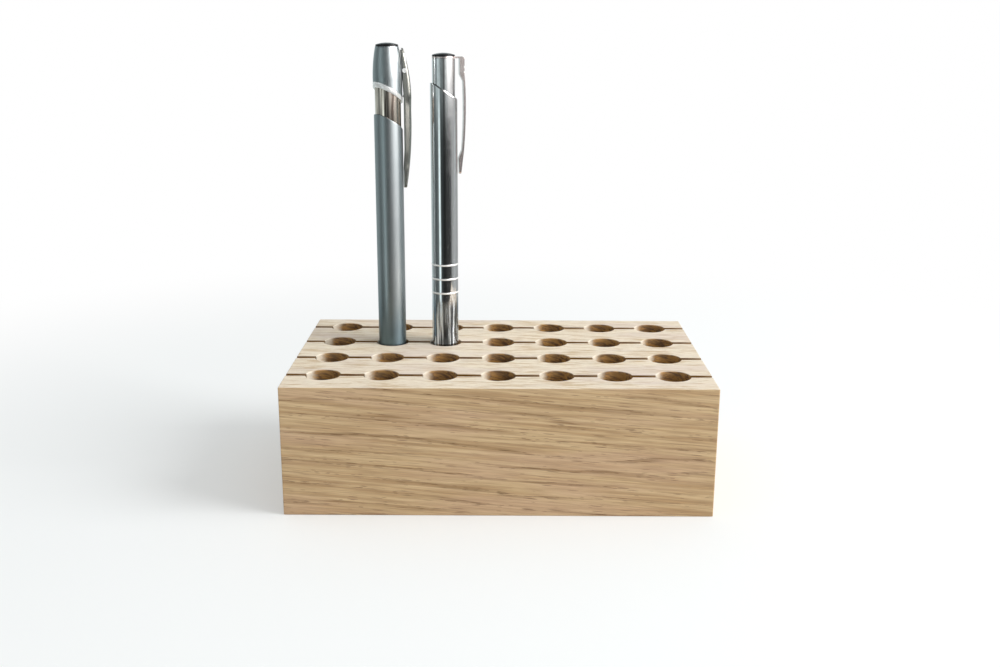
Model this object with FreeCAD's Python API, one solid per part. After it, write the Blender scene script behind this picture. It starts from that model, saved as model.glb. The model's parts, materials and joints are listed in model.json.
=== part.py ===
import FreeCAD, Part
import math
import os

from FreeCAD import Placement, Rotation, Vector

# A wooden pen stand with two press pens standing in it, in millimetres.
# Origin: bottom centre of the block. +X to the right, +Y to the back, +Z up.

# ---- Stand -------------------------------------------------------------
stand_length = 150.0
stand_depth = 92.4
stand_height = 46.8
stand_edge_rounding = 0.4
hole_columns = 7
hole_rows = 4
end_margin = 13.5
side_margin = 13.5
holes_offset_x = -0.3
holes_offset_y = 1.0
hole_clearance = 0.75
hole_depth = 28.8
hole_mouth_chamfer = 0.3
pit_side_clearance = 0.35
pit_end_radius = 0.6
pit_end_clearance = 0.9
kerf_width = 2.6
kerf_depth = 10.0

# ---- Where the pens stand (columns and rows count from the front left) --
pen_row = 2
grey_pen_column = 1
grey_pen_turn = 10.0
chrome_pen_column = 2
chrome_pen_turn = 11.0

# ---- Fits --------------------------------------------------------------
running_clearance = 0.05
seat_clearance = 0.02

# ---- How far a cut runs past the end it opens -----------------------------
overcut = 1.0

# ---- Refill, the same in both pens (heights from the writing point) -----
refill_length = 98.1
refill_radius = 2.9
refill_wall = 0.4
refill_front_plug = 3.0
refill_rear_plug = 3.1
refill_vent_radius = 1.2
stem_length = 11.0
stem_radius = 1.25
tip_end_radius = 0.3
tip_cone_length = 3.0
ball_radius = 0.35
socket_clearance = 0.01
point_retraction = 0.8
press_travel = 4.5

# ---- Nose cones ---------------------------------------------------------
nose_end_wall = 0.75
orifice_clearance = 0.1
orifice_length = 3.0
spring_pocket_end = 7.0
spring_pocket_clearance = 0.275
refill_clearance = 0.15
nose_spigot_length = 6.0
nose_fullness = 0.62

# ---- Return spring ------------------------------------------------------
spring_wire_radius = 0.175
spring_mean_radius = 1.95
spring_turns = 7

# ---- Cam mechanism ------------------------------------------------------
rotor_length = 7.0
rotor_core_radius = 2.5
rotor_rib_height = 0.75
rotor_rib_width = 1.0
rotor_ribs = 4
sleeve_bore_clearance = 0.1
sleeve_guide_below = 1.4
sleeve_guide_above = 4.1
sleeve_teeth = 8
sleeve_tooth_depth = 1.2
plunger_wall = 0.7
plunger_base = 3.0
plunger_teeth = 8
plunger_tooth_depth = 0.8

# ---- Black top plugs ----------------------------------------------------
plug_edge_height = 0.6
plug_dome_height = 0.7

# ---- Grey pen: barrel (heights from the nose end) ------------------------
grey_length = 141.3
grey_barrel_radius = 5.25
grey_barrel_wall = 0.45
grey_barrel_lip_rounding = 0.25
grey_nose_length = 22.0
grey_slope = 31.0
grey_slope_turn = 28.0
grey_collar_wall = 0.4
grey_collar_end_gap = 1.3
grey_collar_shown = 9.7

# ---- Grey pen: cap (drops are measured down from the cap's metal top) ----
grey_cap_wall = 0.55
grey_cap_top_radius = 4.25
grey_cap_rim_width = 0.65
grey_cap_shoulder_inset = 0.38
grey_cap_shoulder_drop = 4.5
grey_cap_bore_drop = 6.4
grey_cap_straight_drop = 12.7
grey_ring_drop = 17.4
grey_ring_height = 1.8
grey_ring_projection = 0.05
grey_plug_inset = 0.1

# ---- Grey pen: hinged clip (drops from the cap's metal top) ---------------
grey_clip_width = 3.8
grey_clip_wall = 0.6
grey_clip_flange = 0.45
grey_clip_top_drop = 0.6
grey_clip_top_standoff = 1.5
grey_clip_arm_drop = 9.3
grey_clip_arm_standoff = 2.4
grey_clip_step_drop = 18.1
grey_clip_crest_drop = 22.7
grey_clip_crest_standoff = 3.2
grey_clip_fall_drop = 37.3
grey_clip_fall_standoff = 2.9
grey_clip_taper_drop = 38.7
grey_clip_nub_drop = 44.7
grey_clip_nub_gap = 0.2
grey_clip_tip_drop = 51.4
grey_clip_tip_standoff = 1.25
grey_clip_tip_width = 2.2
grey_clip_channel_gap = 0.7
grey_clip_ear_gap = 0.1
grey_clip_ear_rise = 1.2
grey_clip_thumb_gap = 0.6
grey_pivot_drop = 8.5
grey_pivot_standoff = 0.75
grey_pin_radius = 0.4
grey_pin_head_radius = 0.85
grey_pin_head_height = 0.25
grey_bracket_side_gap = 0.15
grey_bracket_radius = 0.7
grey_bracket_slot = 1.4
clip_spring_wire_radius = 0.1
clip_spring_mean_radius = 0.72
clip_spring_turns = 4
clip_spring_pitch = 0.28

# ---- Chrome pen: barrel (heights from the nose end) -----------------------
chrome_length = 137.8
chrome_barrel_radius = 5.0
chrome_barrel_wall = 0.45
chrome_barrel_lip_rounding = 0.5
chrome_nose_length = 20.0
chrome_slope = 31.0
chrome_bead_lowest = 49.1
chrome_bead_pitch = 5.4
chrome_beads = 3
chrome_bead_height = 0.65
chrome_bead_projection = 0.12
chrome_bead_depth = 0.15

# ---- Chrome pen: head -----------------------------------------------------
chrome_lip_wall = 0.75
chrome_head_wall = 0.45
chrome_head_end_gap = 0.5
chrome_head_flange_height = 1.0
chrome_head_flange_gap = 0.3
chrome_head_shown = 11.5
chrome_plug_stem_length = 5.3

# ---- Chrome pen: clip (drops from the top of its washer) -------------------
chrome_clip_width = 3.2
chrome_clip_sheet = 0.6
chrome_clip_corner = 0.9
chrome_clip_block_gap = 0.8
chrome_clip_block_depth = 1.75
chrome_clip_block_drop = 6.3
chrome_clip_groove_drop = 3.6
chrome_clip_groove_pitch = 1.8
chrome_clip_grooves = 2
chrome_clip_groove_radius = 0.3
chrome_clip_strip_thickness = 0.75
chrome_clip_strip_drop = 8.8
chrome_clip_strip_standoff = 2.8
chrome_clip_crest_drop = 19.3
chrome_clip_crest_standoff = 3.0
chrome_clip_bend_drop = 33.8
chrome_clip_bend_standoff = 2.3
chrome_clip_nub_drop = 36.7
chrome_clip_nub_gap = 0.3
chrome_clip_tip_drop = 42.6
chrome_clip_tip_standoff = 1.25
chrome_clip_tip_width = 2.4

# ---- Worked out from the above ---------------------------------------------
column_pitch = (stand_length - 2 * end_margin) / (hole_columns - 1)
row_pitch = (stand_depth - 2 * side_margin) / (hole_rows - 1)
hole_radius = max(grey_barrel_radius, chrome_barrel_radius) + hole_clearance
hole_floor = stand_height - hole_depth
pit_mouth_radius = stem_radius + pit_side_clearance
pit_depth = press_travel - point_retraction + pit_end_clearance

refill_back = point_retraction + refill_length
rotor_top = refill_back + rotor_length
rotor_radius = rotor_core_radius + rotor_rib_height
plunger_radius = rotor_radius - running_clearance
sleeve_bottom = refill_back - press_travel - sleeve_guide_below
sleeve_top = refill_back + sleeve_guide_above
orifice_radius = stem_radius + orifice_clearance
nose_end_radius = orifice_radius + nose_end_wall
spring_pocket_radius = spring_mean_radius + spring_wire_radius + spring_pocket_clearance
refill_bore_radius = refill_radius + refill_clearance
plug_height = plug_edge_height + plug_dome_height

grey_bore_radius = grey_barrel_radius - grey_barrel_wall
grey_collar_radius = grey_bore_radius - running_clearance
grey_cap_radius = grey_bore_radius + grey_cap_wall
grey_ring_radius = grey_cap_radius + grey_ring_projection
grey_cap_top = grey_length - plug_height
grey_cap_bore_top = grey_cap_top - grey_cap_bore_drop
grey_cap_rim_bore = grey_cap_top_radius - grey_cap_rim_width
grey_plug_stem_radius = grey_cap_rim_bore - running_clearance
grey_plug_radius = grey_cap_top_radius - grey_plug_inset
grey_ring_bottom = grey_cap_top - grey_ring_drop
grey_ring_top = grey_ring_bottom + grey_ring_height
grey_barrel_top = grey_ring_bottom - grey_collar_shown
grey_collar_top = grey_cap_bore_top - press_travel - grey_collar_end_gap
grey_clip_top = grey_cap_top - grey_clip_top_drop
grey_clip_tip = grey_cap_top - grey_clip_tip_drop
grey_clip_nub = grey_cap_top - grey_clip_nub_drop
grey_clip_inner_width = grey_clip_width - 2 * grey_clip_flange
grey_pivot_reach = grey_cap_radius + grey_pivot_standoff
grey_pivot_height = grey_cap_top - grey_pivot_drop
grey_bracket_width = grey_clip_inner_width - 2 * grey_bracket_side_gap

chrome_bore_radius = chrome_barrel_radius - chrome_barrel_wall
chrome_bead_seat = chrome_barrel_radius - chrome_bead_depth
chrome_lip_bore = chrome_barrel_radius - chrome_lip_wall
chrome_head_radius = chrome_lip_bore - running_clearance
chrome_head_bore = chrome_head_radius - chrome_head_wall
chrome_plug_stem_radius = chrome_head_bore - running_clearance
chrome_washer_bore = chrome_plug_stem_radius + seat_clearance
chrome_clip_top = chrome_length - plug_height
chrome_head_top = chrome_clip_top - chrome_clip_sheet
chrome_head_bottom = sleeve_top + press_travel + chrome_head_end_gap
chrome_flange_top = chrome_head_bottom + chrome_head_flange_height
chrome_lip_bottom = chrome_flange_top + chrome_head_flange_gap
chrome_barrel_top = chrome_head_top - chrome_head_shown
chrome_plug_stem_bottom = chrome_clip_top - chrome_plug_stem_length
chrome_clip_strip_top = chrome_clip_top - chrome_clip_strip_drop
chrome_clip_tip = chrome_clip_top - chrome_clip_tip_drop
far = 4 * stand_length


def closed_face(steps, at):
    """A flat face through the steps: each is a point, or a (through, end) pair for an arc."""
    edges = []
    start = at(*steps[0])
    here = start
    for step in steps[1:]:
        if isinstance(step[0], tuple):
            there = at(*step[1])
            edges.append(Part.Arc(here, at(*step[0]), there).toShape())
        else:
            there = at(*step)
            edges.append(Part.makeLine(here, there))
        here = there
    if here.distanceToPoint(start) > 1e-6:
        edges.append(Part.makeLine(here, start))
    return Part.Face(Part.Wire(edges))


def side_point(reach, height):
    return Vector(reach, 0, height)


def front_point(across, height):
    return Vector(0, across, height)


def turned(steps):
    """The solid made by turning a (radius, height) outline about the Z axis."""
    return closed_face(steps, side_point).revolve(Vector(0, 0, 0), Vector(0, 0, 1), 360)


def side_extrusion(steps, width):
    """A (reach, height) outline with the given width across, centred on the XZ plane."""
    solid = closed_face(steps, side_point).extrude(Vector(0, width, 0))
    solid.translate(Vector(0, -width / 2, 0))
    return solid


def front_extrusion(steps):
    """An (across, height) outline drawn out along +X."""
    return closed_face(steps, front_point).extrude(Vector(far, 0, 0))


def rod(radius, bottom, top):
    return Part.makeCylinder(radius, top - bottom, Vector(0, 0, bottom))


def tube(outer, inner, bottom, top):
    return rod(outer, bottom, top).cut(rod(inner, bottom - overcut, top + overcut))


def cross_rod(radius, length, reach, height):
    """A cylinder across the clip's plane, centred on it."""
    return Part.makeCylinder(radius, length, Vector(reach, -length / 2, height), Vector(0, 1, 0))


def above_slope(height, slope, turn=0):
    """Everything above a plane that crosses the axis at this height and falls away, at this turn from +X."""
    block = Part.makeBox(far, far, far, Vector(-far / 2, -far / 2, 0))
    block.Placement = Placement(Vector(0, 0, height), Rotation(Vector(0, 1, 0), slope)) * block.Placement
    block.rotate(Vector(0, 0, 0), Vector(0, 0, 1), turn)
    return block


def slanted_rim(shape, radius, slope):
    """The slanted end's outer edge: an ellipse as wide as the tube and as tall as the slope makes it."""
    rise = 2 * radius * math.tan(math.radians(slope))
    rims = []
    for edge in shape.Edges:
        box = edge.BoundBox
        if abs(box.XLength - 2 * radius) < radius / 100 and abs(box.ZLength - rise) < radius / 100:
            rims.append(edge)
    return rims


def hole_centre(column, row):
    x = (column - (hole_columns - 1) / 2) * column_pitch + holes_offset_x
    y = (row - (hole_rows - 1) / 2) * row_pitch + holes_offset_y
    return Vector(x, y, hole_floor)


# ---- Stand --------------------------------------------------------------
def pen_hole():
    """What one drilled hole takes away, standing on the hole's floor at the origin."""
    bore = rod(hole_radius, 0, hole_depth + overcut)
    mouth = Part.makeCone(hole_radius, hole_radius + hole_mouth_chamfer, hole_mouth_chamfer,
                          Vector(0, 0, hole_depth - hole_mouth_chamfer))
    pit = Part.makeCone(pit_end_radius, pit_mouth_radius, pit_depth, Vector(0, 0, -pit_depth))
    return bore.fuse([mouth, pit])


def stand_block():
    corner = Vector(-stand_length / 2, -stand_depth / 2, 0)
    block = Part.makeBox(stand_length, stand_depth, stand_height, corner)
    block = block.makeFillet(stand_edge_rounding, block.Edges)
    cuts = []
    for row in range(hole_rows):
        for column in range(hole_columns):
            hole = pen_hole()
            hole.translate(hole_centre(column, row))
            cuts.append(hole)
        y = hole_centre(0, row).y
        corner = Vector(-far / 2, y - kerf_width / 2, stand_height - kerf_depth)
        cuts.append(Part.makeBox(far, kerf_width, far, corner))
    return block.cut(cuts)


# ---- Pieces that both pens share -----------------------------------------
def nose_cone(barrel_radius, bore_radius, length):
    middle = (nose_end_radius + (barrel_radius - nose_end_radius) * nose_fullness, length / 2)
    spigot_radius = bore_radius - running_clearance
    return turned([
        (orifice_radius, 0),
        (nose_end_radius, 0),
        (middle, (barrel_radius, length)),
        (spigot_radius, length),
        (spigot_radius, length + nose_spigot_length),
        (refill_bore_radius, length + nose_spigot_length),
        (refill_bore_radius, spring_pocket_end),
        (spring_pocket_radius, spring_pocket_end),
        (spring_pocket_radius, orifice_length),
        (orifice_radius, orifice_length),
    ])


def coil_spring(mean_radius, wire_radius, pitch, turns):
    """A coil about Z from height 0. Each half turn is an arc tilted to climb half a pitch."""
    half_turns = []
    for index in range(2 * turns):
        side = 1 - 2 * (index % 2)
        start = Vector(side * mean_radius, 0, index * pitch / 2)
        across = Vector(-2 * side * mean_radius, 0, pitch / 2)
        axis = Vector(0, side, 0).cross(across)
        section = Part.Face(Part.Wire([Part.makeCircle(wire_radius, start, Vector(0, 1, 0))]))
        half_turns.append(section.revolve(start + across / 2, axis, 180))
    return half_turns[0].fuse(half_turns[1:])


def return_spring():
    length = point_retraction + stem_length - orifice_length - 2 * spring_wire_radius
    coil = coil_spring(spring_mean_radius, spring_wire_radius, length / spring_turns, spring_turns)
    coil.translate(Vector(0, 0, orifice_length + spring_wire_radius))
    return coil


def writing_ball():
    return Part.makeSphere(ball_radius, Vector(0, 0, point_retraction + ball_radius))


def refill_tip():
    point = point_retraction
    tip = turned([
        (0, point + ball_radius),
        (tip_end_radius, point + ball_radius),
        (stem_radius, point + tip_cone_length),
        (stem_radius, point + stem_length + refill_front_plug),
        (0, point + stem_length + refill_front_plug),
    ])
    return tip.cut(Part.makeSphere(ball_radius + socket_clearance, Vector(0, 0, point + ball_radius)))


def refill_tube():
    front = point_retraction + stem_length
    stem_hole = stem_radius + seat_clearance
    ink_radius = refill_radius - refill_wall
    return turned([
        (stem_hole, front),
        (refill_radius, front),
        (refill_radius, refill_back),
        (refill_vent_radius, refill_back),
        (refill_vent_radius, refill_back - refill_rear_plug),
        (ink_radius, refill_back - refill_rear_plug),
        (ink_radius, front + refill_front_plug),
        (stem_hole, front + refill_front_plug),
    ])


def vee_notches(count, depth, height, outer):
    """V cuts round a tube's end: they open downwards at this height."""
    half = math.pi * outer / count / 2
    notch = Part.Face(Part.makePolygon([
        Vector(0, -half, height),
        Vector(0, half, height),
        Vector(0, 0, height + depth),
        Vector(0, -half, height),
    ])).extrude(Vector(2 * outer, 0, 0))
    cuts = []
    for index in range(count):
        cut = notch.copy()
        cut.rotate(Vector(0, 0, 0), Vector(0, 0, 1), 360 * index / count)
        cuts.append(cut)
    return cuts


def cam_rotor():
    rotor = rod(rotor_core_radius, refill_back, rotor_top)
    for index in range(rotor_ribs):
        corner = Vector(0, -rotor_rib_width / 2, refill_back)
        rib = Part.makeBox(rotor_radius, rotor_rib_width, rotor_length, corner)
        rib.rotate(Vector(0, 0, 0), Vector(0, 0, 1), 360 * index / rotor_ribs)
        rotor = rotor.fuse(rib)
    return rotor.common(rod(rotor_radius, refill_back, rotor_top)).removeSplitter()


def cam_sleeve(bore_radius):
    bore = rotor_radius + sleeve_bore_clearance
    sleeve = tube(bore_radius - running_clearance, bore, sleeve_bottom, sleeve_top)
    return sleeve.cut(vee_notches(sleeve_teeth, sleeve_tooth_depth, sleeve_bottom, bore_radius))


def plunger(top):
    """A cup open at the top, with teeth that push the rotor."""
    cup = rod(plunger_radius, rotor_top, top)
    cup = cup.cut(rod(plunger_radius - plunger_wall, rotor_top + plunger_base, top + overcut))
    return cup.cut(vee_notches(plunger_teeth, plunger_tooth_depth, rotor_top, plunger_radius))


def top_plug(radius, narrow_radius, stem_bottom, seat):
    """A disc on a stem, domed with part of a ball; the disc's underside is at the seat."""
    edge = seat + plug_edge_height
    ball = (radius ** 2 + plug_dome_height ** 2) / (2 * plug_dome_height)
    centre = edge + plug_dome_height - ball
    shoulder = (radius / 2, centre + math.sqrt(ball ** 2 - radius ** 2 / 4))
    return turned([
        (0, stem_bottom),
        (narrow_radius, stem_bottom),
        (narrow_radius, seat),
        (radius, seat),
        (radius, edge),
        (shoulder, (0, edge + plug_dome_height)),
    ])


# ---- Grey pen -------------------------------------------------------------
def grey_barrel():
    barrel = tube(grey_barrel_radius, grey_bore_radius, grey_nose_length, far)
    barrel = barrel.cut(above_slope(grey_barrel_top, grey_slope, grey_slope_turn))
    rim = slanted_rim(barrel, grey_barrel_radius, grey_slope)
    return barrel.makeFillet(grey_barrel_lip_rounding, rim)


def grey_collar():
    return tube(grey_collar_radius, grey_collar_radius - grey_collar_wall, sleeve_top, grey_collar_top)


def grey_trim_ring():
    ring = tube(grey_ring_radius, grey_bore_radius, 0, far)
    ring = ring.common(above_slope(grey_ring_bottom, grey_slope, grey_slope_turn))
    return ring.cut(above_slope(grey_ring_top, grey_slope, grey_slope_turn))


def grey_cap():
    cap = turned([
        (grey_bore_radius, 0),
        (grey_cap_radius, 0),
        (grey_cap_radius, grey_cap_top - grey_cap_straight_drop),
        ((grey_cap_radius - grey_cap_shoulder_inset, grey_cap_top - grey_cap_shoulder_drop),
         (grey_cap_top_radius, grey_cap_top)),
        (grey_cap_rim_bore, grey_cap_top),
        (grey_cap_rim_bore, grey_cap_bore_top),
        (grey_bore_radius, grey_cap_bore_top),
    ])
    cap = cap.common(above_slope(grey_ring_top, grey_slope, grey_slope_turn))
    return cap.cut(bracket_foot(seat_clearance))


def pivot_rod(radius, length):
    return cross_rod(radius, length, grey_pivot_reach, grey_pivot_height)


def bracket_foot(clearance):
    """The block that carries the clip's pin, from inside the cap's wall out to the pin."""
    width = grey_bracket_width + 2 * clearance
    height = 2 * (grey_bracket_radius + clearance)
    corner = Vector(0, -width / 2, grey_pivot_height - height / 2)
    return Part.makeBox(grey_pivot_reach, width, height, corner)


def grey_clip_bracket():
    """Two cheeks that hold the pin, with the clip's spring between them."""
    bracket = bracket_foot(0).fuse(pivot_rod(grey_bracket_radius, grey_bracket_width))
    coil_reach = clip_spring_mean_radius + clip_spring_wire_radius + running_clearance
    corner = Vector(grey_pivot_reach - coil_reach, -grey_bracket_slot / 2, 0)
    slot = Part.makeBox(far, grey_bracket_slot, far, corner)
    pin_hole = pivot_rod(grey_pin_radius + seat_clearance, far)
    return bracket.cut([rod(grey_bore_radius, 0, far), slot, pin_hole]).removeSplitter()


def grey_clip_pin():
    """A rivet whose two heads keep the clip's ears on."""
    between_heads = grey_clip_width + 2 * running_clearance
    shank = pivot_rod(grey_pin_radius, between_heads)
    heads = pivot_rod(grey_pin_head_radius, between_heads + 2 * grey_pin_head_height)
    return shank.fuse(heads.cut(pivot_rod(2 * grey_pin_head_radius, between_heads))).removeSplitter()


def grey_clip_spring():
    length = clip_spring_turns * clip_spring_pitch
    coil = coil_spring(clip_spring_mean_radius, clip_spring_wire_radius, clip_spring_pitch, clip_spring_turns)
    coil.rotate(Vector(0, 0, 0), Vector(1, 0, 0), -90)
    coil.translate(Vector(grey_pivot_reach, -length / 2, grey_pivot_height))
    return coil


def clip_back(inset):
    """The clip's outer side from its top end down to its tip, moved in towards the pen by the inset."""
    arm = (grey_cap_radius + grey_clip_arm_standoff - inset, grey_cap_top - grey_clip_arm_drop)
    crest = (grey_barrel_radius + grey_clip_crest_standoff - inset, grey_cap_top - grey_clip_crest_drop)
    fall = (grey_barrel_radius + grey_clip_fall_standoff - inset, grey_cap_top - grey_clip_fall_drop)
    tip = (grey_barrel_radius + grey_clip_tip_standoff - inset, grey_clip_tip)
    return [(grey_cap_top_radius + grey_clip_top_standoff - inset, grey_clip_top), (arm, crest), (fall, tip)]


def grey_clip_plan():
    """The clip seen from outside: round ends, narrower towards the tip."""
    half = grey_clip_width / 2
    tip_half = grey_clip_tip_width / 2
    taper = grey_cap_top - grey_clip_taper_drop
    return front_extrusion([
        (-half, grey_clip_top - half),
        ((0, grey_clip_top), (half, grey_clip_top - half)),
        (half, taper),
        (tip_half, grey_clip_tip + tip_half),
        ((0, grey_clip_tip), (-tip_half, grey_clip_tip + tip_half)),
        (-half, taper),
    ])


def grey_clip():
    """A channel whose two side flanges run past its pivot to the thumb end, with a solid tip."""
    nub = grey_barrel_radius + grey_clip_nub_gap
    channel = grey_barrel_radius + grey_clip_channel_gap
    ear = grey_cap_radius + grey_clip_ear_gap
    ear_top = grey_pivot_height + grey_clip_ear_rise
    thumb = grey_cap_top_radius + grey_clip_thumb_gap
    step = grey_cap_top - grey_clip_step_drop
    outside = side_extrusion(clip_back(0) + [
        (nub, grey_clip_tip),
        (nub, grey_clip_nub),
        (channel, grey_cap_top - grey_clip_fall_drop),
        (channel, step),
        (ear, step),
        (ear, ear_top),
        (thumb, grey_clip_top),
    ], grey_clip_width)
    inside = clip_back(grey_clip_wall) + [(0, grey_clip_tip), (0, grey_cap_top)]
    hollow = side_extrusion(inside, grey_clip_inner_width).cut(rod(far, 0, grey_clip_nub))
    pin_hole = pivot_rod(grey_pin_radius + running_clearance, far)
    return outside.cut([hollow, pin_hole]).common(grey_clip_plan()).removeSplitter()


# ---- Chrome pen -----------------------------------------------------------
def bead_heights():
    return [chrome_bead_lowest + index * chrome_bead_pitch for index in range(chrome_beads)]


def bead_groove(height):
    half = chrome_bead_height / 2
    return tube(2 * chrome_barrel_radius, chrome_bead_seat, height - half, height + half)


def chrome_barrel():
    """A tube whose upper part is thicker, so that it guides the head and stops its flange."""
    barrel = rod(chrome_barrel_radius, chrome_nose_length, far)
    barrel = barrel.cut(rod(chrome_bore_radius, 0, chrome_lip_bottom))
    barrel = barrel.cut(rod(chrome_lip_bore, 0, far + overcut))
    barrel = barrel.cut(above_slope(chrome_barrel_top, chrome_slope))
    rim = slanted_rim(barrel, chrome_barrel_radius, chrome_slope)
    barrel = barrel.makeFillet(chrome_barrel_lip_rounding, rim)
    return barrel.cut([bead_groove(height) for height in bead_heights()])


def chrome_barrel_rings():
    """Half-round beads seated in the barrel's grooves."""
    beads = []
    for height in bead_heights():
        low = height - chrome_bead_height / 2
        high = height + chrome_bead_height / 2
        beads.append(turned([
            (chrome_bead_seat, low),
            (chrome_barrel_radius, low),
            ((chrome_barrel_radius + chrome_bead_projection, height), (chrome_barrel_radius, high)),
            (chrome_bead_seat, high),
        ]))
    return Part.makeCompound(beads)


def chrome_head():
    head = tube(chrome_head_radius, chrome_head_bore, chrome_head_bottom, chrome_head_top)
    flange_radius = chrome_bore_radius - running_clearance
    flange = tube(flange_radius, chrome_head_bore, chrome_head_bottom, chrome_flange_top)
    return head.fuse(flange).removeSplitter()


def chrome_clip_plan():
    half = chrome_clip_width / 2
    tip_half = chrome_clip_tip_width / 2
    return front_extrusion([
        (-half, chrome_length),
        (half, chrome_length),
        (half, chrome_clip_strip_top),
        (tip_half, chrome_clip_tip + tip_half),
        ((0, chrome_clip_tip), (-tip_half, chrome_clip_tip + tip_half)),
        (-half, chrome_clip_strip_top),
    ])


def chrome_clip_side():
    """The clip from the side: arm, rounded corner, block, bowed strip, nub and tip."""
    thick = chrome_clip_strip_thickness
    corner = chrome_clip_corner
    bevel = corner * (1 - math.cos(math.pi / 4))
    block_in = chrome_barrel_radius + chrome_clip_block_gap
    block_out = block_in + chrome_clip_block_depth
    block_bottom = chrome_clip_top - chrome_clip_block_drop
    strip = chrome_barrel_radius + chrome_clip_strip_standoff
    crest = chrome_barrel_radius + chrome_clip_crest_standoff
    crest_height = chrome_clip_top - chrome_clip_crest_drop
    bend = chrome_barrel_radius + chrome_clip_bend_standoff
    bend_height = chrome_clip_top - chrome_clip_bend_drop
    tip = chrome_barrel_radius + chrome_clip_tip_standoff
    return [
        (chrome_head_bore, chrome_clip_top),
        (block_out - corner, chrome_clip_top),
        ((block_out - bevel, chrome_clip_top - bevel), (block_out, chrome_clip_top - corner)),
        (block_out, block_bottom),
        (strip, chrome_clip_strip_top),
        ((crest, crest_height), (bend, bend_height)),
        (tip, chrome_clip_tip),
        (tip - thick, chrome_clip_tip),
        (chrome_barrel_radius + chrome_clip_nub_gap, chrome_clip_top - chrome_clip_nub_drop),
        (bend - thick, bend_height),
        ((crest - thick, crest_height), (strip - thick, chrome_clip_strip_top)),
        (block_in, block_bottom),
        (block_in, chrome_head_top),
        (chrome_head_bore, chrome_head_top),
    ]


def chrome_clip():
    """One folded strip: a washer under the top plug, an arm, a grooved block and a long spring blade."""
    washer = tube(chrome_head_radius, chrome_washer_bore, chrome_head_top, chrome_clip_top)
    blade = side_extrusion(chrome_clip_side(), chrome_clip_width).common(chrome_clip_plan())
    cuts = [rod(chrome_washer_bore, 0, far)]
    block_out = chrome_barrel_radius + chrome_clip_block_gap + chrome_clip_block_depth
    for index in range(chrome_clip_grooves):
        height = chrome_clip_top - chrome_clip_groove_drop - index * chrome_clip_groove_pitch
        cuts.append(cross_rod(chrome_clip_groove_radius, far, block_out, height))
    return washer.fuse(blade.cut(cuts)).removeSplitter()


# ---- Everything in its place -------------------------------------------------
def shared_pieces(barrel_radius, bore_radius, nose_length, plunger_top):
    return {
        "nose_cone": nose_cone(barrel_radius, bore_radius, nose_length),
        "plunger": plunger(plunger_top),
        "cam_rotor": cam_rotor(),
        "cam_sleeve": cam_sleeve(bore_radius),
        "refill_tube": refill_tube(),
        "refill_tip": refill_tip(),
        "writing_ball": writing_ball(),
        "return_spring": return_spring(),
    }


def grey_pen():
    pieces = shared_pieces(grey_barrel_radius, grey_bore_radius, grey_nose_length, grey_cap_bore_top)
    pieces["barrel"] = grey_barrel()
    pieces["collar"] = grey_collar()
    pieces["cap"] = grey_cap()
    pieces["trim_ring"] = grey_trim_ring()
    pieces["top_plug"] = top_plug(grey_plug_radius, grey_plug_stem_radius, grey_cap_bore_top, grey_cap_top)
    pieces["clip"] = grey_clip()
    pieces["clip_bracket"] = grey_clip_bracket()
    pieces["clip_pin"] = grey_clip_pin()
    pieces["clip_spring"] = grey_clip_spring()
    return pieces


def chrome_pen():
    stem_bottom = chrome_plug_stem_bottom
    pieces = shared_pieces(chrome_barrel_radius, chrome_bore_radius, chrome_nose_length, stem_bottom)
    pieces["barrel"] = chrome_barrel()
    pieces["barrel_rings"] = chrome_barrel_rings()
    pieces["head"] = chrome_head()
    pieces["top_plug"] = top_plug(chrome_head_radius, chrome_plug_stem_radius, stem_bottom, chrome_clip_top)
    pieces["clip"] = chrome_clip()
    return pieces


def standing(pieces, name, column, turn):
    """A pen's pieces, turned about its axis and stood in its hole."""
    placed = {}
    for piece, shape in pieces.items():
        shape.rotate(Vector(0, 0, 0), Vector(0, 0, 1), turn)
        shape.translate(hole_centre(column, pen_row))
        placed[name + "_" + piece] = shape
    return placed


def main():
    os.makedirs("parts", exist_ok=True)
    nodes = {"stand_block": stand_block()}
    nodes.update(standing(grey_pen(), "grey_pen", grey_pen_column, grey_pen_turn))
    nodes.update(standing(chrome_pen(), "chrome_pen", chrome_pen_column, chrome_pen_turn))
    for name, shape in nodes.items():
        shape.exportStep("parts/" + name + ".step")
        print(name, "solids", len(shape.Solids), "valid", shape.isValid(), "volume", round(shape.Volume, 3))


main()
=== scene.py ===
"""The finished look of an oak pen stand and its two press pens, built round their CAD model."""

import json
import math

import bmesh
import bpy
from bpy.props import FloatProperty, FloatVectorProperty, PointerProperty
from mathutils import Matrix, Vector


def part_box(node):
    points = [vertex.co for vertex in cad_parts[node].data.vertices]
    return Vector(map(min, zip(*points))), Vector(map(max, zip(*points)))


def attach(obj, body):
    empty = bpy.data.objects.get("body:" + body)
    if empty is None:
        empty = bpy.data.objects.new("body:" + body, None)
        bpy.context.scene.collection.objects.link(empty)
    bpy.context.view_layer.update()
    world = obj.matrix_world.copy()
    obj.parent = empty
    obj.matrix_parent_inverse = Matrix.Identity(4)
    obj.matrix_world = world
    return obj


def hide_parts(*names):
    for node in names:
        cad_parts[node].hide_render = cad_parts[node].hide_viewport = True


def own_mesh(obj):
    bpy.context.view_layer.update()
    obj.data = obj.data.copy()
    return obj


bl_info = {
    "name": "Pen Stand with Two Pens",
    "version": (1, 0, 0),
    "blender": (4, 5, 0),
    "location": "3D View > Sidebar > Pen Stand",
    "description": "Gives an oak pen stand and its two press pens their finished look",
    "category": "Object",
}

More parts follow.
